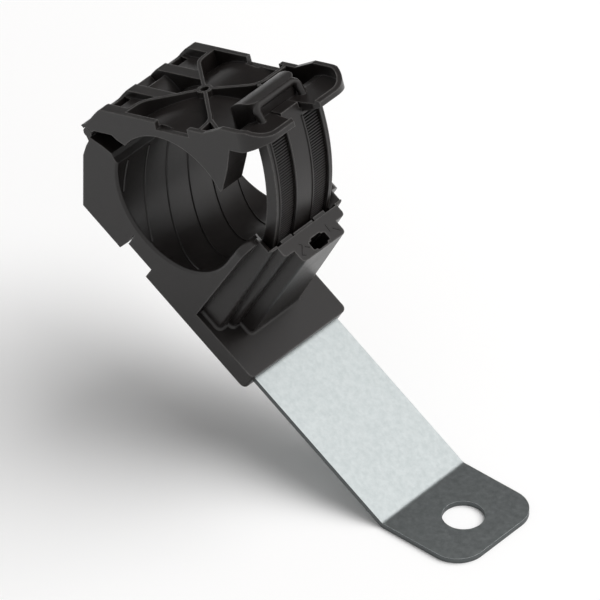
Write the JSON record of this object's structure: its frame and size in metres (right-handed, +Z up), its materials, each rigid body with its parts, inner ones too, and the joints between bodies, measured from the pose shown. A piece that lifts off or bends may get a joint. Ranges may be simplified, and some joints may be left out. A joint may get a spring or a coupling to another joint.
{
  "type": "ratchet p-clamp",
  "caption": "Two-piece black plastic cable clamp with a hinged ribbed jaw and a toothed ratchet strap, moulded round a bent galvanised steel bracket with one bolt hole.",
  "frame": {"origin": "centre of the bolt hole in the tab's underside, the face that is bolted down", "axes": "+Z up out of the tab along the bolt, +X from the clamp towards the tab's free end, +Y across the clamp along the bundle"},
  "size_m": [0.1022, 0.03, 0.0869],
  "materials": {
    "zinc_steel": "galvanised, dull mottled zinc",
    "black_body": "moulded, satin to matte",
    "black_jaw": "moulded, satin to matte"
  },
  "bodies": {
    "bracket_and_base": {"steel_bracket": "zinc_steel", "clamp_base": "black_body"},
    "jaw": {"clamp_jaw": "black_jaw"}
  },
  "joints": [
    {"name": "jaw_hinge", "type": "hinge", "parent": "bracket_and_base", "child": "jaw", "pos_m": [-0.09009, 0, 0.06463], "axis": [0, -1, 0], "range_deg": [-28, 75]}
  ]
}
